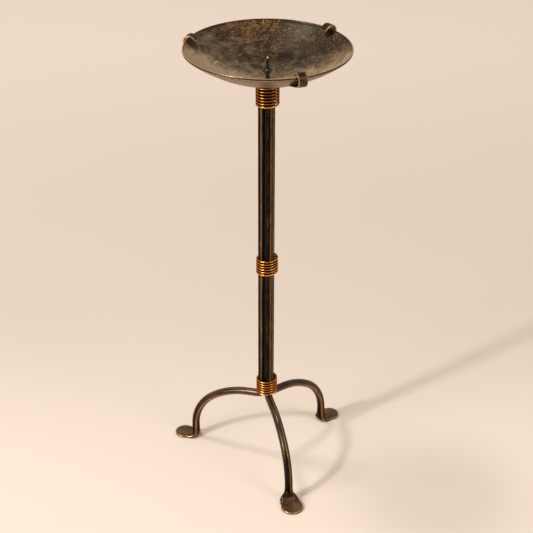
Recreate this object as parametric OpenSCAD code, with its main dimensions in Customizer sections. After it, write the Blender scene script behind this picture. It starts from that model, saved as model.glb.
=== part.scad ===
// Torchere candle stand: three forged bars bound into one shaft by wire,
// splayed into legs with flat penny feet, carrying a dished pan with a pricket.
// Millimetres, +Z up, floor at z = 0, shaft axis on Z, front towards -Y.

/* [Bars and legs] */
// Diameter of the round bar that shaft, legs and feet are forged from
bar_d = 12.7; // [10:0.1:16]
// Clear space between neighbouring uprights in the bundle
bar_gap = 0.2; // [0.1:0.1:1]
// Height of the cut top ends of the bars above the floor
bar_top = 654; // [450:1:850]
// Direction of the front upright in the bundle, degrees from front to right
bundle_az = 20; // [0:0.1:50]
// Direction of the front leg, degrees from front to right
front_leg_az = 15.6; // [5:0.1:25]
// Direction of the right leg, degrees from front to right
right_leg_az = 132.8; // [125:0.1:140]
// Direction of the left leg, degrees from front to left
left_leg_az = 110.6; // [105:0.1:120]
// Distance of the left ankle from the shaft axis
left_reach = 126.1; // [110:0.1:140]
// How much farther out the right ankle stands than the left one
right_extra = 0.8; // [0:0.1:5]
// How much farther out the front ankle stands than the left one
front_extra = 1.7; // [0:0.1:5]
// Height at which the straight ankle starts to lean in
ankle_h = 26; // [18:0.1:40]
// Centreline radius of the shin, above the ankle
shin_r = 80.5; // [70:0.5:100]
// Centreline radius of the long shoulder
shoulder_r = 118; // [90:1:130]
// Fall of the leg where shoulder and shin meet, degrees
knee_slope = 38.5; // [35:0.5:45]
// Fall of the leg where it leaves the shaft, degrees
root_slope = 6; // [5:0.5:12]
// Centreline radius of the tight bend under the lower wire wrap
root_bend_r = 8.5; // [8.3:0.1:12]
// How much each heat draws the bar down, on its radius
draw_down = 0.03; // [0.02:0.01:0.05]

/* [Feet] */
// Diameter of the flat penny at the end of the front leg
front_penny_d = 35; // [28:0.5:44]
// Diameter of the flat penny at the end of the right and left legs
side_penny_d = 32; // [28:0.5:44]
// Thickness of the penny
penny_t = 4; // [3:0.1:6]
// Distance from the ankle axis to the outer end of the penny
toe_reach = 36.8; // [34:0.1:50]
// Radius of the rounded heel under the ankle
heel_r = 8; // [4:0.5:10]
// Radius of the hollow where the ankle is drawn down into the penny
throat_r = 12; // [9:0.5:13]
// Height at which the ankle starts to spread sideways into the penny
spread_h = 14; // [9:0.5:15]

/* [Wire wraps] */
// Diameter of the copper wire
wire_d = 2.8; // [2:0.1:3.8]
// Rise of the wire in one turn
wire_pitch = 4.5; // [4.4:0.05:6]
// Clear space between the bars and the wire of the lower and middle wraps
wrap_clearance = 0.1; // [0.1:0.05:0.6]
// Clear space between the bars and the wire of the upper wrap, which is wound wider
upper_clearance = 0.7; // [0.1:0.05:0.75]
// Turns of the lower wrap
lower_turns = 6; // [3:1:8]
// Turns of the middle wrap
middle_turns = 6; // [3:1:8]
// Turns of the upper wrap
upper_turns = 7; // [3:1:8]
// Height of the start of the middle wrap
middle_wrap_z = 345; // [250:0.1:450]
// Height of the start of the lower wrap above the start of the legs' tight bend
lower_lift = -0.9; // [-0.9:0.1:3]
// Clear space between the upper wrap and the plate above it
upper_gap = 1.2; // [0.3:0.1:20]

/* [Dish] */
// Outside diameter of the rim
rim_d = 238.4; // [210:0.2:280]
// Height of the upright lip round the rim
lip_h = 3; // [2:0.1:8]
// Thickness of the lip, which is a hem closed on itself
lip_t = 2.6; // [2.2:0.1:4]
// How far the hem stands down past the bowl's underside
hem_drop = 0.3; // [0.2:0.1:1]
// Thickness of the beaten sheet
sheet_t = 2; // [1.5:0.1:3]
// Height of the whole dish
dish_h = 48; // [42:0.5:56]
// Radius of the long curve of the bowl, seen in section
bowl_r = 240; // [220:1:300]
// Diameter of the flat in the middle that seats on the plate
seat_d = 44; // [38:0.5:56]
// Clear space round the stud in the dish and in the plate
stud_clearance = 0.1; // [0.05:0.05:0.5]
// Thickness of the seat plate welded on the bar ends
plate_t = 4; // [2.5:0.1:6]
// How far the plate stands out past the bars
plate_margin = 3.2; // [0.5:0.1:5]

/* [Rim clips] */
// Direction of the front clip, degrees from front to right
front_clip_az = 22; // [12:0.5:32]
// Direction of the right clip, degrees from front to right
right_clip_az = 130.5; // [120:0.5:140]
// Direction of the left clip, degrees from front to left
left_clip_az = 108; // [98:0.5:118]
// Width of the flat strap
clip_w = 12.7; // [8:0.1:20]
// Thickness of the flat strap
clip_t = 2; // [1.5:0.1:3]
// Outside radius of the front clip's curl round the rim
front_curl_r = 10.2; // [9:0.1:14]
// Distance of the middle of the front curl in from the outside of the rim
front_inset = 3; // [0:0.1:5]
// Distance of the middle of the front curl down from the top of the rim
front_drop = 5; // [2:0.1:5.5]
// Outside radius of the right clip's curl round the rim
right_curl_r = 10.2; // [9:0.1:14]
// Distance of the middle of the right curl in from the outside of the rim
right_inset = 4; // [0:0.1:5]
// Distance of the middle of the right curl down from the top of the rim
right_drop = 2.8; // [2:0.1:5.5]
// Outside radius of the left clip's curl round the rim
left_curl_r = 9.2; // [9:0.1:14]
// Distance of the middle of the left curl in from the outside of the rim
left_inset = 4.2; // [0:0.1:5]
// Distance of the middle of the left curl down from the top of the rim
left_drop = 4; // [2:0.1:5.5]
// Slope of the flat tab that reaches down into the dish, degrees
tab_slope = 40; // [20:1:55]
// Length of the flat tab
tab_l = 7; // [3:0.5:9]
// Slope of the strap under the dish, degrees
strap_slope = 16; // [10:0.5:18]
// Clear space between the strap's scarfed end and the dish that it is welded to
weld_gap = 0.2; // [0.1:0.05:0.5]

/* [Spike] */
// Diameter of the stem that stands on the dish
stem_d = 6; // [5:0.1:9]
// Height of the stem, up to its collar
stem_h = 8.9; // [5:0.1:20]
// Diameter of the stud under the stem, which screws into the plate
stud_d = 5; // [3:0.1:5.5]
// Diameter of the collar
collar_d = 15.5; // [12:0.1:24]
// Height of the collar
collar_h = 6.8; // [4:0.1:12]
// Clear space between the collar and the spike that it slides over
collar_clearance = 0.1; // [0.05:0.05:0.3]
// Diameter of the spike where it leaves the collar
spike_d = 4.9; // [4:0.1:5.2]
// Diameter of the blunt end of the spike
tip_d = 3.1; // [1:0.1:3.8]
// Length of the spike above its collar
spike_h = 16.3; // [10:0.1:60]

/* [Hidden] */
$fn = 96;

iron_colour = [0.16, 0.12, 0.09];
copper_colour = [0.72, 0.36, 0.14];
dish_colour = [0.27, 0.21, 0.16];
black_colour = [0.06, 0.055, 0.05];

// lengths kept to the hundredth, so that neighbouring pieces share their ends
function neat(v) = round(v * 100) / 100;
// A direction (azimuth) is measured from the front (-Y) towards the right (+X).
function place(az, r, z) = [sin(az) * r, -cos(az) * r, z];
function on_arc(centre, r, angle) = centre + r * [cos(angle), sin(angle)];

third_turn = 120;
bar_r = bar_d / 2;
// three equal circles that nearly touch have their centres on this radius
bundle_r = neat((bar_d + bar_gap) / sqrt(3));
shaft_r = bundle_r + bar_r;

// The bar's radius in the root, shoulder, shin and ankle, each drawn down once more
root_bar_r = bar_r - draw_down;
shoulder_bar_r = root_bar_r - draw_down;
shin_bar_r = shoulder_bar_r - draw_down;
ankle_bar_r = shin_bar_r - draw_down;
// how far a thinner stretch starts inside the thicker one before it, and the
// same for a bent stretch, in degrees
lap = 0.3;
lap_turn = 0.3;

// Outline of the left leg, worked out from the ankle up, as [outward, up] from
// the foot of its upright's axis. The other two reach a little farther.
ankle_x = neat(left_reach - bundle_r);
shin_centre = [ankle_x - shin_r, ankle_h];
knee_angle = 90 - knee_slope;
knee = on_arc(shin_centre, shin_r, knee_angle);
shoulder_centre = on_arc(knee, -shoulder_r, knee_angle);
shoulder_angle = 90 - root_slope;
shoulder = on_arc(shoulder_centre, shoulder_r, shoulder_angle);
root_x = root_bend_r * (1 - cos(shoulder_angle));
root_z = shoulder[1] + (shoulder[0] - root_x) * tan(root_slope);
root_bend_z = neat(root_z + root_bend_r * sin(shoulder_angle));

// Feet: a small amount by which tangent curves are made to cross instead, how
// far inside the ankle the neck starts to spread outwards and sideways, and a
// cutter's overshoot
graze = 0.05;
throat_bite = 4.2;
spread_bite = 0.4;
over = 1;
heel_x = ankle_x - ankle_bar_r;
throat_x = ankle_x + ankle_bar_r - throat_bite + throat_r;
throat_z = penny_t + throat_r;

// Wraps
wire_r = wire_d / 2;
wire_sides = 6;
// middle of the hollow between the right and left bars, at the back
back_az = bundle_az + 1.5 * third_turn;
lower_wrap_z = root_bend_z + lower_lift;
upper_wrap_z = bar_top - upper_gap - wire_r - upper_turns * wire_pitch;

// Dish, worked out from the plate up, as [outward, up]
plate_d = 2 * (shaft_r + plate_margin);
dish_z = bar_top + plate_t;
floor_z = dish_z + sheet_t;
rim_r = rim_d / 2;
rim_z = dish_z + dish_h;
lip_z = rim_z - lip_h;
hem_z = lip_z - hem_drop;
bowl_low = [seat_d / 2, dish_z];
bowl_high = [rim_r, lip_z];
bowl_chord = bowl_high - bowl_low;
bowl_half = norm(bowl_chord) / 2;
bowl_sagitta_leg = sqrt(bowl_r * bowl_r - bowl_half * bowl_half);
bowl_centre = (bowl_low + bowl_high) / 2
    + bowl_sagitta_leg / (2 * bowl_half) * [-bowl_chord[1], bowl_chord[0]];

// Spike
stem_top = floor_z + stem_h;
collar_top = stem_top + collar_h;
spike_top = collar_top + spike_h;
spike_tip_r = tip_d / 2;
collar_bore = spike_d + 2 * collar_clearance;
// heights of the collar's widest edge and of its neck's foot, as shares of its
// height, half the height of that edge, how far the edge is drawn in above and
// below, and the wall round the bore at its ends
collar_waist = 0.45;
collar_neck = 0.7;
collar_edge = 0.08;
collar_round = 0.6;
collar_wall = 0.6;
stud_bore = stud_d + 2 * stud_clearance;
// the stud ends just above the bars
stud_end = bar_top + 0.3;

// ---- Bars ----

// A bent stretch of round bar in the XZ plane, by its centreline.
module bent_bar(centre, r, start, sweep, round_r) {
    translate([centre[0], 0, centre[1]])
        rotate([90, 0, 0])
            rotate([0, 0, start])
                rotate_extrude(angle = sweep)
                    translate([r, 0])
                        circle(r = round_r);
}

// Plan of a penny foot: the round ankle's section drawn out to a disc.
module penny_plan(penny_r) {
    offset = toe_reach - penny_r;
    spread = asin((penny_r - ankle_bar_r) / offset);
    side = [-sin(spread), cos(spread)];
    near = [ankle_x, 0] + (ankle_bar_r - graze) * side;
    far = [ankle_x + offset, 0] + (penny_r - graze) * side;
    translate([ankle_x, 0])
        circle(r = ankle_bar_r);
    translate([ankle_x + offset, 0])
        circle(r = penny_r);
    polygon([near, far, [far[0], -far[1]], [near[0], -near[1]]]);
}

// Side view of the foot's neck, hollowed down to the penny, heel rounded.
module neck_side() {
    difference() {
        translate([heel_x, 0])
            square([throat_x - heel_x, throat_z]);
        translate([throat_x, throat_z - graze])
            circle(r = throat_r);
    }
}

// Front view of the neck: as wide as the ankle, then spread both ways.
module neck_front(penny_r) {
    neck = ankle_bar_r - spread_bite;
    polygon([[-penny_r, 0], [penny_r, 0], [penny_r, penny_t - graze], [neck, spread_h],
             [-neck, spread_h], [-penny_r, penny_t - graze]]);
}

// Turns a side view, drawn as outward and up, into a slab across the leg.
module across(width) {
    rotate([90, 0, 0])
        linear_extrude(height = width, center = true)
            children();
}

// What the rounded heel takes off the corner under the ankle.
module heel_corner() {
    low = heel_r - graze;
    across(4 * bar_d)
        difference() {
            translate([heel_x - over, -over])
                square(low + over);
            translate([heel_x + low, low])
                circle(r = heel_r);
        }
}

module penny_foot(straight, penny_r) {
    difference() {
        union() {
            linear_extrude(height = penny_t)
                penny_plan(penny_r);
            intersection() {
                linear_extrude(height = throat_z)
                    penny_plan(penny_r);
                across(4 * penny_r)
                    neck_side();
                rotate([90, 0, 90])
                    linear_extrude(height = ankle_x + toe_reach)
                        neck_front(penny_r);
            }
            translate([ankle_x, 0, 0])
                cylinder(h = straight + lap, r = ankle_bar_r);
        }
        heel_corner();
    }
}

// One bar: upright, tight bend, root, shoulder, shin, ankle and penny foot.
// A leg with extra reach has a longer root and, as that falls, a shorter ankle.
module forged_bar(upright_az, leg_az, extra, penny_d) {
    fall = extra * tan(root_slope);
    root_l = (shoulder[0] + extra - root_x) / cos(root_slope);
    color(iron_colour)
        translate(place(upright_az, bundle_r, 0))
            rotate([0, 0, leg_az - 90]) {
                translate([0, 0, root_bend_z])
                    cylinder(h = bar_top - root_bend_z, r = bar_r);
                bent_bar([root_bend_r, root_bend_z], root_bend_r, 180, shoulder_angle, bar_r);
                translate([root_x, 0, root_z])
                    rotate([0, 90 + root_slope, 0])
                        translate([0, 0, -lap])
                            cylinder(h = root_l + lap, r = root_bar_r);
                translate([extra, 0, -fall]) {
                    bent_bar(shoulder_centre, shoulder_r, knee_angle,
                             shoulder_angle - knee_angle + lap_turn, shoulder_bar_r);
                    bent_bar(shin_centre, shin_r, 0, knee_angle + lap_turn, shin_bar_r);
                }
                translate([extra, 0, 0])
                    penny_foot(ankle_h - fall, penny_d / 2);
            }
}

module front_bar() {
    forged_bar(bundle_az, front_leg_az, front_extra, front_penny_d);
}

module right_bar() {
    forged_bar(bundle_az + third_turn, right_leg_az, right_extra, side_penny_d);
}

module left_bar() {
    forged_bar(bundle_az - third_turn, -left_leg_az, 0, side_penny_d);
}

// ---- Wire wraps ----

// Centreline of a wrap, wound true round on a former and slid on to the bars. It
// starts and ends over the hollow at the back, and both cut ends run off straight
// for one wire diameter.
round_steps = 24;
function wrap_path(z, turns, clearance) =
    let (steps = turns * round_steps,
         wrap_r = shaft_r + clearance + wire_r,
         run_off = wire_d * [cos(back_az), sin(back_az), 0])
    concat(
        [place(back_az, wrap_r, z) - run_off],
        [for (i = [0 : steps])
            place(back_az + 360 * i / round_steps, wrap_r, z + wire_pitch * i / round_steps)],
        [place(back_az, wrap_r, z + turns * wire_pitch) + run_off]
    );

function unit(v) = v / norm(v);

// Direction of the wire at point i of its path, between its two neighbours.
function heading(path, i) =
    unit(path[min(i + 1, len(path) - 1)] - path[max(i - 1, 0)]);

// Six-sided ring of points round point i, with its first corner on top.
function wire_ring(path, i) =
    let (t = heading(path, i),
         up = unit([0, 0, 1] - t[2] * t),
         side = cross(t, up))
    [for (k = [0 : wire_sides - 1])
        let (a = 360 * k / wire_sides)
        path[i] + wire_r * (cos(a) * up + sin(a) * side)];

// Least gap between parts of the wire at least a third of a turn (8 rings) apart.
function least_gap(path) =
    min([for (i = [0 : len(path) - 1], j = [i + 8 : len(path) - 1])
        norm(path[i] - path[j])]) - wire_d;

module wire(path) {
    n = wire_sides;
    rings = len(path);
    points = [for (i = [0 : rings - 1]) each wire_ring(path, i)];
    sides = [for (i = [0 : rings - 2], k = [0 : n - 1])
        let (a = i * n + k, b = i * n + (k + 1) % n)
        each [[a, b, b + n], [a, b + n, a + n]]];
    start_cap = [for (k = [1 : n - 2]) [0, k + 1, k]];
    end_base = (rings - 1) * n;
    end_cap = [for (k = [1 : n - 2]) [end_base, end_base + k, end_base + k + 1]];
    polyhedron(points = points, faces = concat(sides, start_cap, end_cap));
}

module wire_wrap(path) {
    echo(rings = len(path), least_gap = least_gap(path));
    color(copper_colour)
        wire(path);
}

module lower_wrap() {
    wire_wrap(wrap_path(lower_wrap_z, lower_turns, wrap_clearance));
}

module middle_wrap() {
    wire_wrap(wrap_path(middle_wrap_z, middle_turns, wrap_clearance));
}

module upper_wrap() {
    wire_wrap(wrap_path(upper_wrap_z, upper_turns, upper_clearance));
}

// ---- Dish and its seat ----

// Round plate across the three bar ends, bored for the spike's stud.
module seat_plate() {
    color(iron_colour)
        translate([0, 0, bar_top])
            difference() {
                cylinder(h = plate_t, d = plate_d);
                translate([0, 0, -over])
                    cylinder(h = plate_t + 2 * over, d = stud_bore);
            }
}

// Solid section under one of the bowl's two skins, down to a flat at height low.
module bowl_section(r, low) {
    intersection() {
        translate(bowl_centre)
            circle(r = r, $fn = 360);
        translate([0, low])
            square([rim_r - lip_t / 4, rim_z - low]);
    }
}

module dish() {
    color(dish_colour)
        rotate_extrude() {
            difference() {
                bowl_section(bowl_r, dish_z);
                bowl_section(bowl_r - sheet_t, floor_z);
                translate([0, dish_z - over])
                    square([stud_bore / 2, sheet_t + 2 * over]);
            }
            translate([rim_r - lip_t, hem_z])
                square([lip_t, rim_z - hem_z - lip_t / 2]);
            translate([rim_r - lip_t / 2, rim_z - lip_t / 2])
                circle(d = lip_t, $fn = 48);
        }
}

// ---- Rim clips ----

// Everything inside the bowl's outer surface, which scarfs the strap's end.
module dish_body(reach) {
    rotate_extrude()
        intersection() {
            translate(bowl_centre)
                circle(r = bowl_r + weld_gap, $fn = 360);
            square([reach, lip_z]);
        }
}

// Flat stretch of strap, from a point in the XZ plane, falling inwards. It is
// drawn down on both faces, so that it starts inside the end of the curl.
module flat_strap(start, slope, length, below) {
    translate([start[0], 0, start[1]])
        rotate([0, -slope, 0])
            translate([-length, -clip_w / 2, draw_down - (below ? 0 : clip_t)])
                cube([length + lap, clip_w, clip_t - 2 * draw_down]);
}

// How far the strap's lower face runs from a point to the bowl's underside,
// where its end is cut off to a scarf.
function strap_run(start) =
    let (from = start - bowl_centre,
         near = from * [cos(strap_slope), sin(strap_slope)])
    near - sqrt(near * near - from * from + bowl_r * bowl_r);

// One strap: up from the dish's underside, round the rim and down inside it.
module rim_clip(az, curl_r, inset, drop) {
    centre = [rim_r - inset, rim_z - drop];
    tab_angle = 90 + tab_slope;
    strap_angle = 90 - strap_slope;
    strap_start = on_arc(centre, curl_r, -strap_angle);
    color(iron_colour)
        rotate([0, 0, az - 90])
            difference() {
                union() {
                    translate([centre[0], 0, centre[1]])
                        rotate([90, 0, 0])
                            rotate([0, 0, -strap_angle])
                                rotate_extrude(angle = strap_angle + tab_angle)
                                    translate([curl_r - clip_t, -clip_w / 2])
                                        square([clip_t, clip_w]);
                    flat_strap(on_arc(centre, curl_r, tab_angle), tab_slope, tab_l, false);
                    flat_strap(strap_start, strap_slope, strap_run(strap_start) + over, true);
                }
                dish_body(centre[0] - curl_r);
            }
}

module front_clip() {
    rim_clip(front_clip_az, front_curl_r, front_inset, front_drop);
}

module right_clip() {
    rim_clip(right_clip_az, right_curl_r, right_inset, right_drop);
}

module left_clip() {
    rim_clip(-left_clip_az, left_curl_r, left_inset, left_drop);
}

// ---- Spike ----

// Stud, stem and pricket, turned in one piece, with a blunt round end.
module pricket_spike() {
    color(black_colour)
        rotate_extrude() {
            polygon([[0, stud_end],
                     [stud_d / 2, stud_end],
                     [stud_d / 2, floor_z],
                     [stem_d / 2, floor_z],
                     [stem_d / 2, stem_top],
                     [spike_d / 2, stem_top],
                     [spike_d / 2, collar_top],
                     [spike_tip_r, spike_top - spike_tip_r],
                     [0, spike_top - spike_tip_r]]);
            intersection() {
                translate([0, spike_top - spike_tip_r])
                    circle(r = spike_tip_r);
                translate([0, spike_top - spike_tip_r])
                    square(spike_tip_r);
            }
        }
}

// Bead that slides over the spike and seats on the shoulder of the stem.
module spike_collar() {
    belly_z = stem_top + collar_h * collar_waist;
    edge = collar_h * collar_edge;
    color(black_colour)
        rotate_extrude()
            polygon([[collar_bore / 2, stem_top],
                     [stem_d / 2 + collar_wall, stem_top],
                     [collar_d / 2 - collar_round, belly_z - edge],
                     [collar_d / 2, belly_z],
                     [collar_d / 2 - collar_round, belly_z + edge],
                     [collar_d / 3, stem_top + collar_h * collar_neck],
                     [collar_bore / 2 + collar_wall, collar_top],
                     [collar_bore / 2, collar_top]]);
}

front_bar();
right_bar();
left_bar();
lower_wrap();
middle_wrap();
upper_wrap();
seat_plate();
dish();
pricket_spike();
spike_collar();
front_clip();
right_clip();
left_clip();
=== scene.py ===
import math

import bmesh
import bpy
from mathutils import Euler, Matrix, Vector, noise


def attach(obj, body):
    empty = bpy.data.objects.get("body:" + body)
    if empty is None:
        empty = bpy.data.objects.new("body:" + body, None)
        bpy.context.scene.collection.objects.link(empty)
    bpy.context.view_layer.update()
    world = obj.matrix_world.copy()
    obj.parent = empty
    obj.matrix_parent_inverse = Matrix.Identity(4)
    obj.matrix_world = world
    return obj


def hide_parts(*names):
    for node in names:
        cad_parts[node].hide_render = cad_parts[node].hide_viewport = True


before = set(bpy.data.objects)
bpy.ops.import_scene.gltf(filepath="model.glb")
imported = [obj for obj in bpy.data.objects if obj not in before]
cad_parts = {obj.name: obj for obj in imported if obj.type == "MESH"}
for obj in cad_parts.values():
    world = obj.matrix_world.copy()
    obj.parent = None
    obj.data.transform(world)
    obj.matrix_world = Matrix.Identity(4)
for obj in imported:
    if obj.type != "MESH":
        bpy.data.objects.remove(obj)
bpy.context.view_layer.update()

# ---- Three forged bars ----
# Round half-inch iron bar, one length for each third of the shaft, bent out under the lower wrap,
# arched down into a leg, and hammered flat at its end into a penny foot. The patina is near black,
# rubbed through to a coppery brown along the lines that hands and cloths catch; the brown bands
# down the uprights are also painted highlights of the lamps.
MM = 0.001
# The bar, and how far its axis stands from the shaft's
BAR_R = 6.35 * MM
BAR_TOP = 654 * MM
BUNDLE_R = 7.45 * MM
# The leg's centreline: root bend, level run, shoulder arc, shin arc, ankle and toe
ROOT_BEND_R = 8.5 * MM
ROOT_SLOPE = math.radians(6)
SHOULDER_R = 118 * MM
SHOULDER_ANGLE = math.pi / 2 - ROOT_SLOPE
KNEE_ANGLE = math.radians(90 - 38.5)
SHIN_R = 80.5 * MM
ANKLE_X = 118.65 * MM
ANKLE_H = 26 * MM
TOE_REACH = 36.8 * MM
PENNY_T = 4 * MM
# Each bar: node, direction of its upright and of its leg, extra reach, penny radius, and the
# direction and strength of each rubbed band down its upright, which is partly a painted highlight
BARS = (
    ("front_bar", 20, 15.6, 1.7 * MM, 17.5 * MM, ((27, 0.95), (52, 0.55), (-17, 0.3), (-95, 0.5))),
    ("right_bar", 140, 132.8, 0.8 * MM, 16 * MM, ((46, 1.0), (90, 0.5), (135, 0.6), (-175, 1.0))),
    ("left_bar", -100, -110.6, 0.0, 16 * MM, ((-15, 1.05), (-68, 0.35), (-140, 1.0))),
)
# The foot, from the ankle down and out: heel side and throat side of each section as outward
# and up from the ankle axis, how far it has spread to the penny's width, and its squareness
FOOT = (
    ((-6.25, 17.5), (6.25, 17.5), 0.05, 2.0),
    ((-6.25, 14.5), (6.1, 15.4), 0.15, 2.0),
    ((-6.2, 11.6), (5.6, 13.2), 0.3, 2.05),
    ((-6.1, 8.8), (5.2, 11.2), 0.46, 2.1),
    ((-5.7, 6.1), (5.1, 9.4), 0.61, 2.2),
    ((-4.7, 3.7), (5.5, 7.8), 0.74, 2.4),
    ((-3.0, 1.8), (6.5, 6.5), 0.84, 2.7),
    ((-0.6, 0.6), (8.1, 5.4), 0.91, 3.1),
    ((2.4, 0.1), (10.2, 4.6), 0.96, 3.6),
    ((6.2, 0.0), (12.4, 4.2), 0.99, 4.2),
    ((10.4, 0.0), (14.6, 4.03), 1.0, 4.8),
)
PAD_SQUARE = 5.0
# Depth of the hammer's marks, how close they lie round the bar and along it, and how far out the
# leg has been drawn down by that depth
FORGE_DEPTH = 0.1 * MM
FORGE_ROUND = 0.6
FORGE_ALONG = 60
FORGE_REACH = 60 * MM
# Width of a rubbed band down the upright, which is partly a painted highlight, and angle and
# width of the lines rubbed along the leg's crest and sides, in degrees round the bar from its side
RUB_WIDTH = 12
CREST_LINE = (74, 13)
SIDE_LINES = ((-25, 24), (205, 24))
# How far a level run of the leg, and the top of the penny, are rubbed
LEVEL_RUB = 0.35
PENNY_RUB = 0.6
# Heights at which the leg's rubbed lines and its wax end
LEG_TOP = 140 * MM
WAX_LINE = 137 * MM
# How finely the bar is drawn
RING_POINTS = 40
STEP = 3 * MM
PAD_STEPS = 5
PAD_FAN = 28


def at(azimuth, radius, height=0.0):
    """Point in the direction azimuth, turned from the front (-Y) towards the right (+X)."""
    a = math.radians(azimuth)
    return Vector((math.sin(a) * radius, -math.cos(a) * radius, height))


def upright(out, flat):
    """A point or direction of a flat drawing, stood up in the direction out."""
    return out * flat.x + Vector((0, 0, flat.y))


def smooth(low, high, value):
    """From 0 at low to 1 at high, with a soft start and end."""
    t = min(max((value - low) / (high - low), 0.0), 1.0)
    return t * t * (3 - 2 * t)


def bell(angle, middle, width):
    """1 at the angle middle, in degrees, falling to about a third one width away."""
    return math.exp(-(((angle - middle + 180) % 360 - 180) / width) ** 2)


def polar(radius, angle):
    return radius * Vector((math.cos(angle), math.sin(angle)))


def arc(centre, radius, start, end):
    """Points and headings, every STEP, round an arc in the leg's own plane."""
    count = max(int(abs(end - start) * radius / STEP), 6)
    turn = 1 if end > start else -1
    for i in range(1, count + 1):
        a = start + (end - start) * i / count
        yield centre + polar(radius, a), polar(turn, a + math.pi / 2)


def straight(start, end):
    """Points and headings, every other STEP, along a straight run."""
    count = max(int((end - start).length / (2 * STEP)), 2)
    for i in range(1, count + 1):
        yield start.lerp(end, i / count), (end - start).normalized()


def rounded(value, squareness):
    """Sine or cosine for a section that goes from a circle (2) towards a square (above 2)."""
    return math.copysign(abs(value) ** (2 / squareness), value)


def tube_faces(rings, size):
    """Quads between each ring of points and the next."""
    return [(r * size + i, r * size + (i + 1) % size, (r + 1) * size + (i + 1) % size,
             (r + 1) * size + i)
            for r in range(rings - 1) for i in range(size)]


def piece_from(name, points, faces, marks, sharp=None):
    """Closed mesh piece with one attribute on its points for each entry of marks."""
    mesh = bpy.data.meshes.new(name)
    mesh.from_pydata(points, [], faces)
    for mark, values in marks.items():
        if isinstance(values[0], tuple):
            layer = mesh.attributes.new(mark, "FLOAT_VECTOR", "POINT")
            layer.data.foreach_set("vector", [v for value in values for v in value])
        else:
            layer = mesh.attributes.new(mark, "FLOAT", "POINT")
            layer.data.foreach_set("value", values)
    shell = bmesh.new()
    shell.from_mesh(mesh)
    bmesh.ops.remove_doubles(shell, verts=shell.verts, dist=1e-6)
    bmesh.ops.recalc_face_normals(shell, faces=shell.faces)
    shell.to_mesh(mesh)
    shell.free()
    mesh.shade_smooth()
    if sharp is not None:
        mesh.set_sharp_from_angle(angle=math.radians(sharp))
    piece = bpy.data.objects.new(name, mesh)
    bpy.context.collection.objects.link(piece)
    return piece


def leg_line(extra):
    """Centreline of a bar in its leg's plane, as points and headings, from its cut top down."""
    reach = Vector((extra, -extra * math.tan(ROOT_SLOPE)))
    shin = Vector((ANKLE_X - SHIN_R, ANKLE_H))
    shoulder = shin + polar(SHIN_R - SHOULDER_R, KNEE_ANGLE)
    crest = shoulder + polar(SHOULDER_R, SHOULDER_ANGLE)
    root = Vector((ROOT_BEND_R * (1 - math.cos(SHOULDER_ANGLE)), 0))
    root.y = crest.y + (crest.x - root.x) * math.tan(ROOT_SLOPE)
    bend = Vector((ROOT_BEND_R, root.y + ROOT_BEND_R * math.sin(SHOULDER_ANGLE)))
    top = Vector((0, BAR_TOP))
    line = [(top, Vector((0, -1)))]
    line += straight(top, Vector((0, bend.y)))
    line += arc(bend, ROOT_BEND_R, math.pi, math.pi + SHOULDER_ANGLE)
    line += straight(root, crest + reach)
    line += arc(shoulder + reach, SHOULDER_R, SHOULDER_ANGLE, KNEE_ANGLE)
    line += arc(shin + reach, SHIN_R, KNEE_ANGLE, 0.0)
    return line


def penny_width(x, penny_r):
    """Half width of the foot's plan x outward from the ankle: two tangents, then the disc."""
    pad_x = TOE_REACH - penny_r
    spread = math.asin((penny_r - BAR_R) / pad_x)
    if x > pad_x - penny_r * math.sin(spread):
        return math.sqrt(penny_r ** 2 - (x - pad_x) ** 2)
    return (BAR_R + max(x, 0.0) * math.sin(spread)) / math.cos(spread)


def foot_sections(penny_r):
    """Sections of the foot as middle, up, half depth, half width and squareness."""
    last_x = (FOOT[-1][0][0] + FOOT[-1][1][0]) / 2 * MM
    spread = penny_width(last_x, penny_r) - BAR_R + FORGE_DEPTH
    for heel, throat, share, squareness in FOOT:
        low, high = Vector(heel) * MM, Vector(throat) * MM
        middle = (low + high) / 2
        width = BAR_R - FORGE_DEPTH + spread * share
        yield middle, (high - low).normalized(), (high - low).length / 2, width, squareness
    first, last = middle.x, TOE_REACH - penny_r
    for i in range(1, PAD_STEPS + 1):
        x = first + (last - first) * i / PAD_STEPS
        yield (Vector((x, PENNY_T / 2)), Vector((0, 1)), PENNY_T / 2, penny_width(x, penny_r),
               PAD_SQUARE)


def edge_wear(share, upward, level):
    """Wear on the upper edges of the hammered foot, at a share of its width and a height."""
    upper = 0.15 + 0.85 * smooth(-0.2, 0.6, upward)
    return smooth(0.84, 0.97, abs(share)) * smooth(9 * MM, 5 * MM, level) * upper


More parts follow.
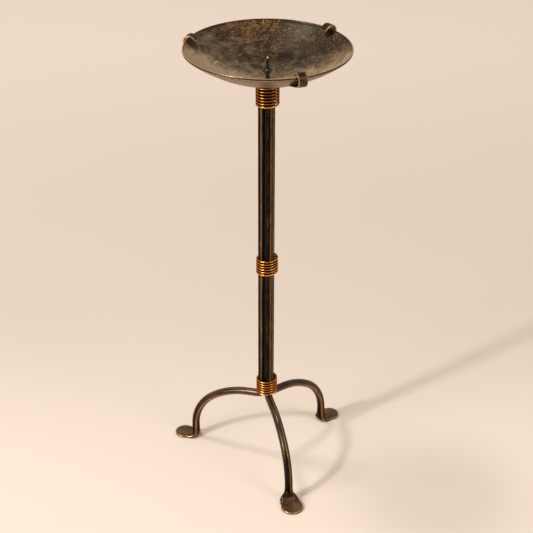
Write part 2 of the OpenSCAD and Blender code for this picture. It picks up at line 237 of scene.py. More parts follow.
def forged_bar(name, upright_az, leg_az, extra, penny_r, rub_and_highlight_bands):
    """Upright, leg and foot in one mesh, marked where it is rubbed, where its upright carries
    painted highlights, worn and steep.
    """
    out = at(leg_az, 1)
    across = Vector((-out.y, out.x, 0))
    foot = at(upright_az, BUNDLE_R)
    points, along, rub_and_painted_light, wear, steep = [], [], [], [], []

    def add(point, offset, length, rubbed, worn, steepness=0.0):
        points.append(point)
        along.append((offset[0], offset[1], length))
        rub_and_painted_light.append(rubbed)
        wear.append(worn)
        steep.append(steepness)

    line = [(middle, Vector((-heading.y, heading.x)), None, None, 2.0)
            for middle, heading in leg_line(extra)]
    line += [(middle + Vector((ANKLE_X + extra, 0)), up, depth, width, square)
             for middle, up, depth, width, square in foot_sections(penny_r)]
    length = 0.0
    for n, (middle, up, depth, width, square) in enumerate(line):
        length += (middle - line[n - 1][0]).length if n else 0.0
        round_r = BAR_R - FORGE_DEPTH * smooth(0, FORGE_REACH, middle.x)
        centre = foot + upright(out, middle)
        steepness = 1 - abs(up.y)
        up = upright(out, up)
        for i in range(RING_POINTS):
            a = math.tau * i / RING_POINTS
            y, x = rounded(math.sin(a), square), rounded(math.cos(a), square)
            offset = up * (y * (depth or round_r)) + across * (x * (width or round_r))
            if depth is None:
                offset *= 1 + FORGE_DEPTH / BAR_R * noise.noise(Vector((
                    x * FORGE_ROUND, y * FORGE_ROUND, length * FORGE_ALONG + upright_az)))
            if middle.y > LEG_TOP:
                # rubbed bands down the upright, partly painted highlights of the lamps
                azimuth = math.degrees(math.atan2(offset.x, -offset.y))
                rubbed = max(share * bell(azimuth, az, RUB_WIDTH) for az, share in rub_and_highlight_bands)
            else:
                turn = math.degrees(a)
                on_leg = max(LEVEL_RUB * (1 - steepness), bell(turn, *CREST_LINE))
                rubbed = max(*(bell(turn, *side) for side in SIDE_LINES),
                             PENNY_RUB * y if depth else on_leg)
            add(centre + offset, (x * (width or round_r), y * (depth or round_r)), length,
                rubbed, edge_wear(x, y, centre.z) if depth else 0.0, steepness)
    faces = tube_faces(len(line), RING_POINTS) + [tuple(range(RING_POINTS))]

    # The toe is one half of the last section, turned round the middle of the penny.
    base = (len(line) - 1) * RING_POINTS
    quarter = RING_POINTS // 4
    half = range(quarter, 3 * quarter + 1)
    fans = []
    for j in range(PAD_FAN + 1):
        turn = math.pi * j / PAD_FAN
        side = out * math.sin(turn) - across * math.cos(turn)
        fan = []
        for k in half:
            if j == 0 or k in (half[0], half[-1]):
                fan.append(base + k)
            elif j == PAD_FAN:
                fan.append(base + (2 * quarter - k) % RING_POINTS)
            else:
                fan.append(len(points))
                share = abs(rounded(math.cos(math.tau * k / RING_POINTS), PAD_SQUARE))
                offset = side * (share * penny_r)
                height = points[base + k].z
                add(Vector((centre.x, centre.y, height)) + offset,
                    (offset.dot(across), height), length + offset.dot(out), PENNY_RUB,
                    edge_wear(share, 2 * height / PENNY_T - 1, height))
        fans.append(fan)
    for one, two in zip(fans, fans[1:]):
        for i in range(len(half) - 1):
            corners = dict.fromkeys((one[i], one[i + 1], two[i + 1], two[i]))
            faces.append(tuple(corners))
    return piece_from(name.replace("_bar", "_forged_bar"), points, faces,
                      {"along_bar": along, "rub_and_painted_light": rub_and_painted_light, "wear": wear, "steep": steep}, sharp=50)


class Finish:
    """A material built node by node; an input that is a socket is linked, others are set."""

    def __init__(self, name):
        self.material = bpy.data.materials.new(name)
        self.material.use_nodes = True
        self.tree = self.material.node_tree
        self.tree.nodes.clear()

    def node(self, kind, inputs, output=0, **settings):
        made = self.tree.nodes.new("ShaderNode" + kind)
        for setting, value in settings.items():
            setattr(made, setting, value)
        for key, value in inputs.items():
            if isinstance(value, bpy.types.NodeSocket):
                self.tree.links.new(value, made.inputs[key])
            else:
                made.inputs[key].default_value = value
        return made.outputs[output]

    def place(self):
        return self.node("TexCoord", {}, "Object")

    def mark(self, name, output="Fac"):
        return self.node("Attribute", {}, output, attribute_name=name)

    def scaled(self, vector, scale):
        return self.node("Mapping", {"Vector": vector, "Scale": scale})

    def noise(self, vector, scale, detail=4.0, roughness=0.55, distortion=0.0):
        return self.node("TexNoise", {"Vector": vector, "Scale": scale, "Detail": detail,
                                      "Roughness": roughness, "Distortion": distortion})

    def ramp(self, value, low, high, to_low=0.0, to_high=1.0):
        return self.node("MapRange", {"Value": value, "From Min": low, "From Max": high,
                                      "To Min": to_low, "To Max": to_high},
                         interpolation_type="SMOOTHSTEP")

    def math(self, operation, one, two=0.0, three=0.0):
        return self.node("Math", {0: one, 1: two, 2: three}, operation=operation)

    def varied(self, value, pattern, amount=1.0):
        """The value, moved up and down by a pattern that runs from 0 to 1."""
        return self.math("MULTIPLY_ADD", self.math("SUBTRACT", pattern, 0.5), amount, value)

    def blend(self, share, one, two):
        return self.node("Mix", {0: share, 6: one, 7: two}, 2, data_type="RGBA")

    def bump(self, height, strength, distance):
        return self.node("Bump", {"Height": height, "Strength": strength,
                                  "Distance": distance})

    def finish(self, inputs):
        shader = self.node("BsdfPrincipled", inputs)
        surface = self.tree.nodes.new("ShaderNodeOutputMaterial").inputs["Surface"]
        self.tree.links.new(shader, surface)
        return self.material


IRON_BLACK = (0.0035, 0.003, 0.0025, 1)
IRON_BROWN = (0.096, 0.062, 0.034, 1)
RUBBED_COPPER = (0.46, 0.18, 0.036, 1)
EDGE_COPPER = (0.52, 0.26, 0.095, 1)
SHEEN_TINT = (1.0, 0.78, 0.56, 1)


def patinated_iron(name, gloss, smoothest, rub_level=0.0, dull_drop=0.0):
    """Patina along the bar: dark and rubbed brown bands, which also paint highlights and shade,
    copper streaks, specks, worn edges.

    rub_level rubs it further, and dull_drop takes the gloss off where the bar runs steep.
    """
    f = Finish(name)
    along = f.mark("along_bar", "Vector")
    rub_and_painted_light = f.mark("rub_and_painted_light")
    blotch = f.noise(f.scaled(along, (1, 1, 0.3)), scale=90, detail=3)
    streak = f.noise(f.scaled(along, (1, 1, 0.07)), scale=480, detail=5, roughness=0.62)
    speck = f.noise(f.scaled(along, (1, 1, 0.5)), scale=800, detail=3, roughness=0.65)
    patch = f.noise(f.scaled(along, (0.4, 0.4, 0.3)), scale=45, detail=2)
    grain = f.noise(f.scaled(along, (1, 1, 0.4)), scale=900)
    band_and_painted_light = f.varied(f.varied(rub_and_painted_light, streak, 1.1), blotch)
    level = f.math("MULTIPLY_ADD", f.math("MULTIPLY", rub_and_painted_light, rub_and_painted_light), 0.42, streak)
    rubbed = f.ramp(f.varied(level, patch, 0.5), 0.86 - rub_level, 0.97 - rub_level)
    speckled = f.ramp(f.math("MULTIPLY_ADD", rub_and_painted_light, 0.16, speck), 0.68, 0.73)
    copper = f.math("MAXIMUM", rubbed, f.math("MULTIPLY", speckled, 0.8))
    worn = f.ramp(f.varied(f.mark("wear"), streak), 0.5, 0.9)
    bare = f.math("MAXIMUM", copper, worn)
    colour = f.blend(f.ramp(band_and_painted_light, 0.12, 0.8), IRON_BLACK, IRON_BROWN)
    colour = f.blend(f.math("MULTIPLY", copper, 0.9), colour, RUBBED_COPPER)
    colour = f.blend(worn, colour, EDGE_COPPER)
    return f.finish({
        "Base Color": colour,
        "Metallic": f.math("MAXIMUM", f.ramp(bare, 0, 1, to_low=0.1, to_high=0.65),
                           f.math("MULTIPLY", f.mark("steep"), dull_drop)),
        "Roughness": f.ramp(blotch, 0.3, 0.7, to_low=smoothest, to_high=smoothest + 0.14),
        "Specular IOR Level": gloss, "Specular Tint": SHEEN_TINT,
        "Normal": f.bump(f.math("MULTIPLY_ADD", bare, -0.3, grain), strength=0.2,
                         distance=0.2 * MM)})


# The legs are waxed to a gloss; the uprights above the lower wrap are left dull.
upright_finish = patinated_iron("dull rubbed patina", gloss=0.06, smoothest=0.3)
leg_finish = patinated_iron("waxed rubbed patina", gloss=0.57, smoothest=0.16, rub_level=0.04,
                            dull_drop=0.95)
for name, *sizes in BARS:
    bar = forged_bar(name, *sizes)
    bar.data.materials.append(upright_finish)
    bar.data.materials.append(leg_finish)
    for face in bar.data.polygons:
        face.material_index = int(face.center.z < WAX_LINE)
    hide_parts(name)
    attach(bar, "root")

# ---- Three copper wire wraps ----
# One length of copper wire each, wound true round on a former and slid on to the three bars,
# with its cut ends running off straight at the back. The copper is darkened, then polished, so
# the outside of each turn shines; the grooves between the turns are black with patina and with
# painted shade, and the lower half of each turn is painted dark as shade.
WIRE_R = 1.4 * MM
WIRE_PITCH = 4.5 * MM
WIRE_SIDES = 20
WRAP_CLEARANCE = 0.1 * MM
UPPER_CLEARANCE = 0.7 * MM
BACK_AZ = 200
# Each wrap: node, turns, height of its start, clear space between wire and bars
WRAPS = (("lower_wrap", 6, 123.6 * MM, WRAP_CLEARANCE),
         ("middle_wrap", 6, 345 * MM, WRAP_CLEARANCE),
         ("upper_wrap", 7, 619.9 * MM, UPPER_CLEARANCE))


def wire_tree():
    """Node tree that winds one wire, and marks on it the grooves, black with patina and painted
    shade, and the lower half of each turn, painted dark as shade.
    """
    tree = bpy.data.node_groups.new("wire wound round bars", "GeometryNodeTree")
    tree.interface.new_socket("Geometry", in_out="OUTPUT", socket_type="NodeSocketGeometry")
    sizes = {"Turns": 6.0, "Pitch": WIRE_PITCH, "Start Height": 0.0, "Start Angle": 0.0,
             "Turn Radius": BUNDLE_R + BAR_R + WIRE_R, "Wire Radius": WIRE_R,
             "Straight Ends": 2 * WIRE_R, "Points Per Turn": 96.0,
             "Unevenness": 0.25 * MM, "Waves Per Metre": 25.0, "Seed": 3.0}
    for label, value in sizes.items():
        socket = tree.interface.new_socket(label, in_out="INPUT", socket_type="NodeSocketFloat")
        socket.default_value = value
    tree.interface.new_socket("Material", in_out="INPUT", socket_type="NodeSocketMaterial")
    given = tree.nodes.new("NodeGroupInput").outputs

    def node(kind, inputs, output=0, **settings):
        made = tree.nodes.new(kind)
        for setting, value in settings.items():
            setattr(made, setting, value)
        for key, value in inputs.items():
            if isinstance(value, bpy.types.NodeSocket):
                tree.links.new(value, made.inputs[key])
            else:
                made.inputs[key].default_value = value
        return made.outputs[output]

    def calc(operation, one, two=0.0, three=0.0):
        return node("ShaderNodeMath", {0: one, 1: two, 2: three}, operation=operation)

    def radial(angle, radius, height):
        """The point on a circle at an angle from the front, towards the right."""
        return node("ShaderNodeCombineXYZ", {
            "X": calc("MULTIPLY", calc("SINE", angle), radius),
            "Y": calc("MULTIPLY", calc("COSINE", angle), calc("MULTIPLY", radius, -1.0)),
            "Z": height})

    def stored(geometry, label, value):
        return node("GeometryNodeStoreNamedAttribute", {
            "Geometry": geometry, "Name": label, "Value": value},
            data_type="FLOAT", domain="POINT")

    turn_r, ends = given["Turn Radius"], given["Straight Ends"]
    wound = calc("MULTIPLY", given["Turns"], calc("MULTIPLY", turn_r, math.tau))
    count = calc("MULTIPLY", given["Turns"], given["Points Per Turn"])
    step = calc("DIVIDE", calc("MULTIPLY_ADD", ends, 2.0, wound), count)
    travelled = calc("SUBTRACT", calc("MULTIPLY", node("GeometryNodeInputIndex", {}), step), ends)
    on_turns = calc("MINIMUM", calc("MAXIMUM", travelled, 0.0), wound)
    turned = calc("DIVIDE", on_turns, turn_r)
    angle = calc("ADD", turned, given["Start Angle"])
    turns_done = calc("DIVIDE", turned, math.tau)
    wave = node("ShaderNodeTexNoise", {
        "W": calc("MULTIPLY_ADD", on_turns, given["Waves Per Metre"], given["Seed"]),
        "Scale": 1.0}, "Fac", noise_dimensions="1D")
    rise = calc("MULTIPLY_ADD", turns_done, given["Pitch"], given["Start Height"])
    rise = calc("MULTIPLY_ADD", calc("SUBTRACT", wave, 0.5), given["Unevenness"], rise)
    run_off = radial(calc("ADD", angle, math.pi / 2), calc("SUBTRACT", travelled, on_turns), 0.0)
    spot = node("ShaderNodeVectorMath", {0: radial(angle, turn_r, rise), 1: run_off},
                operation="ADD")
    line = node("GeometryNodeMeshLine", {"Count": calc("ADD", count, 1.0)})
    line = node("GeometryNodeSetPosition", {"Geometry": line, "Position": spot})
    line = stored(line, "turn", turns_done)
    curve = node("GeometryNodeMeshToCurve", {"Mesh": line}, "Curve")
    profile = node("GeometryNodeCurvePrimitiveCircle", {
        "Resolution": WIRE_SIDES, "Radius": given["Wire Radius"]}, "Curve")
    tube = node("GeometryNodeCurveToMesh", {"Curve": curve, "Profile Curve": profile,
                                            "Fill Caps": True})
    tube = node("GeometryNodeSetShadeSmooth", {"Geometry": tube})
    # painted shade, with patina in the grooves: a wire's top is marked if it has a turn above it,
    # and its whole lower half if it has one below
    facing = node("ShaderNodeSeparateXYZ", {0: node("GeometryNodeInputNormal", {})}, "Z")
    turn = node("GeometryNodeInputNamedAttribute", {"Name": "turn"}, data_type="FLOAT")
    above = calc("LESS_THAN", turn, calc("SUBTRACT", given["Turns"], 1.0))
    below = calc("GREATER_THAN", turn, 1.0)
    groove_and_shade = calc("MAXIMUM", calc("MULTIPLY", facing, above),
                  calc("MULTIPLY", calc("SUBTRACT", 1.0, facing), below))
    tube = stored(tube, "groove_and_shade", groove_and_shade)
    tube = node("GeometryNodeRealizeInstances", {"Geometry": tube})
    tube = node("GeometryNodeSetMaterial", {"Geometry": tube, "Material": given["Material"]})
    tree.links.new(tube, tree.nodes.new("NodeGroupOutput").inputs[0])
    return tree


def wound_wire(name, tree, material, **values):
    """A plain mesh piece that the tree winds with these values."""
    wire = bpy.data.objects.new(name, bpy.data.meshes.new(name))
    bpy.context.collection.objects.link(wire)
    winding = wire.modifiers.new("winding", "NODES")
    winding.node_group = tree
    sockets = {item.name: item.identifier for item in tree.interface.items_tree
               if item.in_out == "INPUT"}
    winding[sockets["Material"]] = material
    for key, value in values.items():
        winding[sockets[key.replace("_", " ").title()]] = float(value)
    wire.update_tag()
    graph = bpy.context.evaluated_depsgraph_get()
    mesh = bpy.data.meshes.new_from_object(wire.evaluated_get(graph))
    wire.modifiers.remove(winding)
    wire.data = mesh
    mesh.set_sharp_from_angle(angle=math.radians(60))
    return wire


COPPER_BRIGHT = (0.88, 0.36, 0.09, 1)
COPPER_DEEP = (0.6, 0.19, 0.035, 1)
COPPER_SHADE_BLACK = (0.008, 0.0025, 0.001, 1)
COPPER_SHEEN = (0.8, 0.5, 0.3, 1)

f = Finish("polished copper wire")
drawn = f.noise(f.scaled(f.place(), (1, 1, 3)), scale=90, detail=3)
grain = f.noise(f.place(), scale=900, detail=3)
# the grooves and the lower half of each turn are painted dark as shade
blackened = f.ramp(f.varied(f.mark("groove_and_shade"), drawn, 0.15), 0.78, 0.94)
colour = f.blend(f.ramp(drawn, 0.35, 0.65), COPPER_DEEP, COPPER_BRIGHT)
wire_finish = f.finish({
    "Base Color": f.blend(blackened, colour, COPPER_SHADE_BLACK), "Metallic": 1.0,
    "Roughness": f.ramp(blackened, 0, 1, to_low=0.24, to_high=0.6),
    "Specular IOR Level": 0.2, "Specular Tint": COPPER_SHEEN,
    "Normal": f.bump(grain, strength=0.05, distance=0.1 * MM)})
wire_wrap = wire_tree()
for name, turns, start, clearance in WRAPS:
    wire = wound_wire(name + "_wire", wire_wrap, wire_finish, turns=turns, start_height=start,
                      start_angle=math.radians(BACK_AZ), seed=turns + start,
                      turn_radius=BUNDLE_R + BAR_R + clearance + WIRE_R)
    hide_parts(name)
    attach(wire, "root")

# ---- Seat plate ----
# Round iron plate welded across the three bar ends, with a hole for the spike's stud. It hides
# between the upper wrap and the dish, so the solid from the frame stays, with its own finish.
f = Finish("dark plate iron")
scale_spots = f.noise(f.place(), scale=220)
plate_finish = f.finish({
    "Base Color": f.blend(f.ramp(scale_spots, 0.35, 0.7), IRON_BLACK, IRON_BROWN),
    "Metallic": 0.5, "Roughness": f.ramp(scale_spots, 0.3, 0.7, to_low=0.4, to_high=0.6),
    "Normal": f.bump(scale_spots, strength=0.3, distance=0.2 * MM)})
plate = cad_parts["seat_plate"].data
plate.materials.clear()
plate.materials.append(plate_finish)

# ---- Dish ----
# Sheet iron beaten into a shallow bowl with a small flat seat. Its edge is folded over into a
# closed hem, which stands up as a narrow lip. The patina is mottled brown, lighter towards the
# front and the left as a painted reflection, with gold-coloured speckles inside, and it is
# rubbed to copper along both edges of the lip.
RIM_R = 119.2 * MM
RIM_Z = 706 * MM
LIP_T = 2.6 * MM
LIP_Z = 703 * MM
HEM_Z = 702.7 * MM
DISH_Z = 658 * MM
SHEET_T = 2 * MM
BOWL_R = 240 * MM
SEAT_R = 22 * MM
STUD_HOLE_R = 2.6 * MM
# The hem's section: out from the rim and up from the hem, in mm, and how worn it is
HEM = ((-2.4, -0.15, 0.1), (-1.7, -0.1, 0.2), (-0.5, 0.0, 0.7), (-0.1, 0.2, 1.0),
       (0.0, 0.5, 0.6), (0.0, 0.9, 0.0))
# Angle round the top of the lip at which it is worn, from outside, and its width
LIP_WEAR = (80, 32)
# Hammer dents: depth, how close they lie, and the radii between which they are full
DENT_DEPTH = 0.35 * MM
DENTS = 55
SMALL_DENTS = 120
DENTS_FROM = 45 * MM
DENTS_TO = 108 * MM
# How finely the dish is drawn
DISH_SIDES = 288
SEAT_STEPS = 6
BOWL_STEPS = 46
LIP_STEPS = 16


def bowl_centre():
    """Middle of the bowl's arc, which runs from the seat's edge to the foot of the lip."""
    low, high = Vector((SEAT_R, DISH_Z)), Vector((RIM_R, LIP_Z))
    chord = high - low
    leg = math.sqrt(BOWL_R ** 2 - (chord.length / 2) ** 2)
    return (low + high) / 2 + Vector((-chord.y, chord.x)).normalized() * leg


BOWL_CENTRE = bowl_centre()


def bowl_z(radius, curve_r):
    """Height at a radius of the skin whose section is an arc of radius curve_r."""
    return BOWL_CENTRE.y - math.sqrt(curve_r ** 2 - (radius - BOWL_CENTRE.x) ** 2)


def turned(name, outline, sides, bend=None, sharp=None):
    """Closed piece turned from a closed outline of (radius, height, wear) off the axis."""
    count = len(outline)
    points, faces = [], []
    for j in range(sides):
        for radius, height, worn in outline:
            point = at(360 * j / sides, radius, height)
            points.append(bend(point) if bend else point)
        a, b = j * count, (j + 1) % sides * count
        for i in range(count):
            faces.append((a + i, a + (i + 1) % count, b + (i + 1) % count, b + i))
    return piece_from(name, points, faces,
                      {"wear": [worn for radius, height, worn in outline] * sides}, sharp)


def dish_outline():
    """Section of the dish: underside from the stud's hole out, hem, lip, and back inside."""
    inner_r = BOWL_R - SHEET_T
    inner_seat_r = BOWL_CENTRE.x + math.sqrt(
        inner_r ** 2 - (BOWL_CENTRE.y - DISH_Z - SHEET_T) ** 2)
    hem_r = RIM_R - LIP_T
    under_r, inside_r = hem_r - 0.6 * MM, hem_r - 0.5 * MM
    outline = []
    for i in range(SEAT_STEPS):
        radius = STUD_HOLE_R + (SEAT_R - STUD_HOLE_R) * i / SEAT_STEPS
        outline.append((radius, DISH_Z, 0.0))
    for i in range(BOWL_STEPS + 1):
        radius = SEAT_R + (under_r - SEAT_R) * i / BOWL_STEPS
        outline.append((radius, bowl_z(radius, BOWL_R), 0.0))
    for side, up, worn in HEM:
        outline.append((RIM_R + side * MM, HEM_Z + up * MM, worn))
    round_r = LIP_T / 2
    outline.append((RIM_R, RIM_Z - round_r - 0.3 * MM, 0.0))
    for i in range(LIP_STEPS + 1):
        a = math.pi * i / LIP_STEPS
        outline.append((RIM_R - round_r + round_r * math.cos(a),
                        RIM_Z - round_r + round_r * math.sin(a),
                        bell(math.degrees(a), *LIP_WEAR)))
    outline.append((hem_r, bowl_z(hem_r, inner_r) + 0.5 * MM, 0.4))
    for i in range(BOWL_STEPS + 1):
        radius = inside_r - (inside_r - inner_seat_r) * i / BOWL_STEPS
        outline.append((radius, bowl_z(radius, inner_r), 0.0))
    for i in range(1, SEAT_STEPS + 1):
        radius = inner_seat_r - (inner_seat_r - STUD_HOLE_R) * i / SEAT_STEPS
        outline.append((radius, DISH_Z + SHEET_T, 0.0))
    return outline


def beaten(point):
    """Hammer dents of the dish, which fade out towards its seat and its hem."""
    radius = math.hypot(point.x, point.y)
    share = smooth(SEAT_R, DENTS_FROM, radius) * smooth(RIM_R, DENTS_TO, radius)
    dent = noise.noise(Vector((point.x, point.y, 0)) * DENTS)
    dent += 0.5 * noise.noise(Vector((point.x, point.y, 0.3)) * SMALL_DENTS)
    return point + Vector((0, 0, dent * DENT_DEPTH * share))


dish = turned("beaten_dish", dish_outline(), DISH_SIDES, beaten, sharp=60)

PATINA_DARK = (0.010, 0.0075, 0.005, 1)
PATINA_BROWN = (0.030, 0.021, 0.013, 1)
# bloom colours, also used to paint the bowl's reflection towards the front and the left
BLOOM_SHEEN_BROWN = (0.165, 0.112, 0.065, 1)
BLOOM_SHEEN_TAN = (0.44, 0.315, 0.20, 1)
FLECK_GOLD = (0.46, 0.215, 0.06, 1)
TAB_SHADOW_BLACK = (0.004, 0.003, 0.002, 1)
UNDERSIDE_DARK = (0.04, 0.019, 0.007, 1)
UNDERSIDE_BROWN = (0.105, 0.056, 0.02, 1)
LIP_BLACK = (0.004, 0.0035, 0.003, 1)
LIP_COPPER = (0.72, 0.40, 0.17, 1)
# Radius at which the patina's strokes are round; further out they are drawn out along the circle
ROUND_STROKE_R = 45 * MM
# Direction and radius of the painted shadow under each side clip's tab, and where it fades out
TAB_SHADOW_SPOTS = ((128, 114 * MM), (-105, 111 * MM))
TAB_SHADOW_REACH = 13 * MM
TAB_SHADOW_CORE = 7 * MM

f = Finish("mottled dish patina")
place = f.place()
rightward, backward = [f.node("SeparateXYZ", {"Vector": place}, axis) for axis in "XY"]
flat = f.node("VectorMath", {0: place, 1: (1, 1, 0)}, operation="MULTIPLY")
outward = f.node("VectorMath", {0: flat}, operation="NORMALIZE")
# strokes run round the bowl: the pattern changes fast outward and slowly along each circle
round_bowl = f.node("VectorMath", {
    0: f.node("VectorMath", {0: outward, 1: (ROUND_STROKE_R, ROUND_STROKE_R, 0)},
              operation="MULTIPLY"),
    1: f.node("CombineXYZ", {"Z": f.node("VectorMath", {0: flat}, 1, operation="LENGTH")})},
    operation="ADD")
stroke = f.noise(round_bowl, scale=95, detail=6, roughness=0.66, distortion=0.7)
cloud = f.noise(place, scale=15, detail=5, roughness=0.6, distortion=0.6)
haze = f.noise(place, scale=42, detail=6, roughness=0.68, distortion=0.9)
fine = f.noise(place, scale=750, detail=3, roughness=0.6)
grit = f.noise(place, scale=900, detail=3, roughness=0.7)
clump = f.noise(place, scale=95, detail=4, roughness=0.65)
# tan bloom of the patina, made thickest towards the front and the left as a painted reflection
bloom_and_sheen = f.math("MULTIPLY_ADD", stroke, 0.58, f.math("MULTIPLY", haze, 0.12))
bloom_and_sheen = f.math("MULTIPLY_ADD", f.ramp(backward, 0.06, -0.06), 0.4, bloom_and_sheen)
bloom_and_sheen = f.math("MULTIPLY_ADD", rightward, -0.7, bloom_and_sheen)
colour = f.blend(f.ramp(cloud, 0.35, 0.65), PATINA_DARK, PATINA_BROWN)
colour = f.blend(f.ramp(bloom_and_sheen, 0.31, 0.51, to_high=0.95), colour, BLOOM_SHEEN_BROWN)
colour = f.blend(f.ramp(bloom_and_sheen, 0.46, 0.64, to_high=0.9), colour, BLOOM_SHEEN_TAN)
# gold flecks: clusters at the back, towards the right-hand edge, and a few everywhere
at_back = f.math("MULTIPLY", f.ramp(backward, 0.035, 0.105), f.ramp(rightward, 0.055, 0.0))
at_back = f.math("MULTIPLY", at_back, f.ramp(rightward, -0.095, -0.055))
at_right = f.math("MULTIPLY", f.ramp(rightward, 0.05, 0.085), f.ramp(backward, -0.02, 0.02))
flecked = f.math("MAXIMUM", at_back, f.math("MULTIPLY", at_right, 0.6))
flecked = f.varied(flecked, haze, 1.2)
golden = f.math("MULTIPLY_ADD", flecked, 0.12, f.varied(fine, clump, 0.5))
specks = f.math("MULTIPLY_ADD", flecked, 0.05, grit)
gold = f.math("MAXIMUM", f.ramp(golden, 0.695, 0.72), f.ramp(specks, 0.67, 0.71))
colour = f.blend(gold, colour, FLECK_GOLD)
# painted shadow under each side clip's tab
for azimuth, radius in TAB_SHADOW_SPOTS:
    spot = tuple(at(azimuth, radius, bowl_z(radius, BOWL_R - SHEET_T)))
    away = f.node("VectorMath", {0: place, 1: spot}, 1, operation="DISTANCE")
    tab_shadow = f.ramp(f.varied(away, haze, 0.02), TAB_SHADOW_REACH, TAB_SHADOW_CORE, to_high=0.9)
    colour = f.blend(tab_shadow, colour, TAB_SHADOW_BLACK)
# the underside is a plainer brown
normal = f.node("NewGeometry", {}, "Normal")
beneath = f.ramp(f.node("SeparateXYZ", {"Vector": normal}, "Z"), -0.2, -0.4)
plain = f.blend(f.ramp(stroke, 0.35, 0.65), UNDERSIDE_DARK, UNDERSIDE_BROWN)
colour = f.blend(f.math("MULTIPLY", beneath, 0.75), colour, plain)
# worn copper along both edges of the lip, whose upright face stays black
worn = f.ramp(f.varied(f.mark("wear"), fine, 1.2), 0.35, 0.75)
colour = f.blend(f.math("MULTIPLY", worn, 0.85), colour, EDGE_COPPER)
bare = f.math("MAXIMUM", f.math("MULTIPLY", gold, 0.6), worn)
dish_finish = f.finish({
    "Base Color": colour, "Metallic": f.ramp(bare, 0, 1, to_low=0.1, to_high=0.6),
    "Roughness": f.ramp(haze, 0.3, 0.7, to_low=0.28, to_high=0.42),
    "Specular IOR Level": 0.25, "Specular Tint": SHEEN_TINT,
    "Normal": f.bump(f.math("MULTIPLY_ADD", gold, 0.4, fine), strength=0.22,
                     distance=0.4 * MM)})
f = Finish("black waxed lip")
fine = f.noise(f.place(), scale=420, detail=6, roughness=0.8)
worn = f.ramp(f.varied(f.mark("wear"), fine, 1.2), 0.35, 0.75)
lip_finish = f.finish({
    "Base Color": f.blend(worn, LIP_BLACK, LIP_COPPER),
    "Metallic": f.ramp(worn, 0, 1, to_low=0.1, to_high=0.5),
    "Roughness": f.ramp(fine, 0.3, 0.7, to_low=0.14, to_high=0.3), "Specular IOR Level": 0.8,
    "Normal": f.bump(fine, strength=0.15, distance=0.2 * MM)})
dish.data.materials.append(dish_finish)
dish.data.materials.append(lip_finish)
for face in dish.data.polygons:
    face.material_index = int(face.center.xy.length > RIM_R - LIP_T + 0.1 * MM
                              and face.center.z > HEM_Z - 0.05 * MM)
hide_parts("dish")
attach(dish, "root")

# ---- Pricket spike and its collar ----
# Turned from iron in one piece, with a stem and a stud that goes through the dish into the
# plate. A bead-shaped collar slides over it and seats on the stem. Both are blackened, and the
# blunt point is painted bright as a highlight.
STUD_END = 654.3 * MM
FLOOR_Z = 660 * MM
STEM_TOP = 668.9 * MM
COLLAR_TOP = 675.7 * MM
SPIKE_TOP = 692 * MM
STUD_R = 2.5 * MM
STEM_R = 3 * MM
SPIKE_R = 2.45 * MM
TIP_R = 1.55 * MM
COLLAR_R = 7.75 * MM
COLLAR_BORE_R = 2.55 * MM
# How finely the spike and the collar's lower and upper half are drawn
SPIKE_SIDES = 64
SPIKE_STEPS = 8
BEAD_STEPS = (10, 12)


def solid_of(name, outline, sides, sharp=None):
    """Closed piece turned from an open outline, as for turned, that starts and ends on the axis."""
    count = len(outline) - 2
    ends, rest = (outline[0], outline[-1]), outline[1:-1]
    points = [Vector((0, 0, height)) for radius, height, worn in ends]
    wear = [worn for radius, height, worn in ends]
    faces = []
    for j in range(sides):
        points += [at(360 * j / sides, radius, height) for radius, height, worn in rest]
        wear += [worn for radius, height, worn in rest]
        a, b = 2 + j * count, 2 + (j + 1) % sides * count
        faces.append((0, a, b))
        faces += [(a + i, a + i + 1, b + i + 1, b + i) for i in range(count - 1)]
        faces.append((1, b + count - 1, a + count - 1))
    return piece_from(name, points, faces, {"wear": wear}, sharp)


def spike_outline():
    """Section of the spike: stud, stem, taper and blunt point."""
    outline = [
        (0, STUD_END, 0), (STUD_R - 0.3 * MM, STUD_END, 0),
        (STUD_R, STUD_END + 0.3 * MM, 0), (STUD_R, FLOOR_Z, 0),
        (STEM_R + 0.5 * MM, FLOOR_Z, 0.3), (STEM_R + 0.1 * MM, FLOOR_Z + 0.5 * MM, 0.1),
        (STEM_R, FLOOR_Z + 1.2 * MM, 0), (STEM_R, STEM_TOP - 0.2 * MM, 0),
        (STEM_R - 0.2 * MM, STEM_TOP, 0), (SPIKE_R, STEM_TOP, 0)]
    taper_top = SPIKE_TOP - TIP_R
    for i in range(SPIKE_STEPS + 1):
        t = i / SPIKE_STEPS
        outline.append((SPIKE_R + (TIP_R - SPIKE_R) * t,
                        COLLAR_TOP + (taper_top - COLLAR_TOP) * t, smooth(0.8, 1.0, t)))
    for i in range(1, SPIKE_STEPS):
        a = math.pi / 2 * i / SPIKE_STEPS
        outline.append((TIP_R * math.cos(a), taper_top + TIP_R * math.sin(a), 1))
    outline.append((0, SPIKE_TOP, 1))
    return outline


